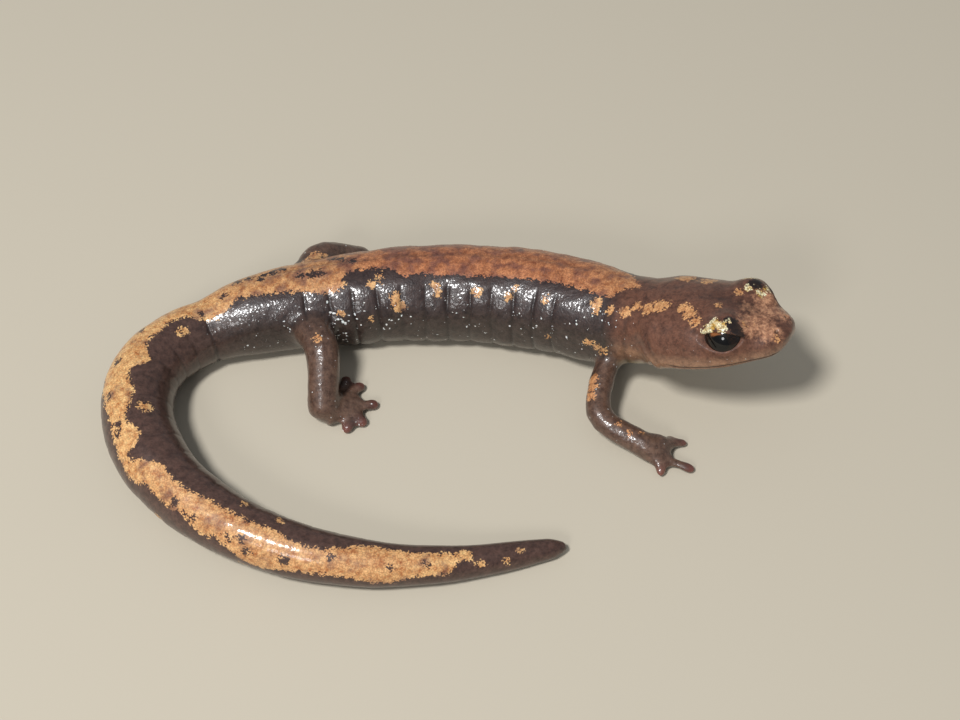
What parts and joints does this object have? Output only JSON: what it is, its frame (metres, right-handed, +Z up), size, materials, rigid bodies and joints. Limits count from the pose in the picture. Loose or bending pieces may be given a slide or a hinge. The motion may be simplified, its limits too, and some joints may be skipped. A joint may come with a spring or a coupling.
{
  "type": "salamander",
  "caption": "Life-size salamander at rest, head raised, trunk slightly bent and its long thick tail curled round beside it.",
  "frame": {"origin": "centre of the footprint box, on the floor the animal lies on", "axes": "+X the way the trunk faces, +Y to the animal's left, +Z up"},
  "size_m": [0.0586, 0.0374, 0.0126],
  "materials": {
    "dark_skin": "moist dark brown skin, softly glossy",
    "back_stripe": "moist skin with a mottled orange-brown stripe on the back",
    "eye": "wet, near-black eye"
  },
  "bodies": {
    "root": {"head": "dark_skin", "neck": "dark_skin", "chest": "back_stripe", "belly": "back_stripe", "hips": "back_stripe", "tail_base": "back_stripe", "tail_bend": "back_stripe", "tail_return": "back_stripe", "tail_run": "back_stripe", "tail_tip": "dark_skin", "upper_arm_right": "dark_skin", "forearm_right": "dark_skin", "hand_right": "dark_skin", "upper_arm_left": "dark_skin", "forearm_left": "dark_skin", "hand_left": "dark_skin", "thigh_right": "dark_skin", "shank_right": "dark_skin", "foot_right": "dark_skin", "thigh_left": "dark_skin", "shank_left": "dark_skin", "foot_left": "dark_skin", "eye_right": "eye", "eye_left": "eye"}
  },
  "joints": []
}
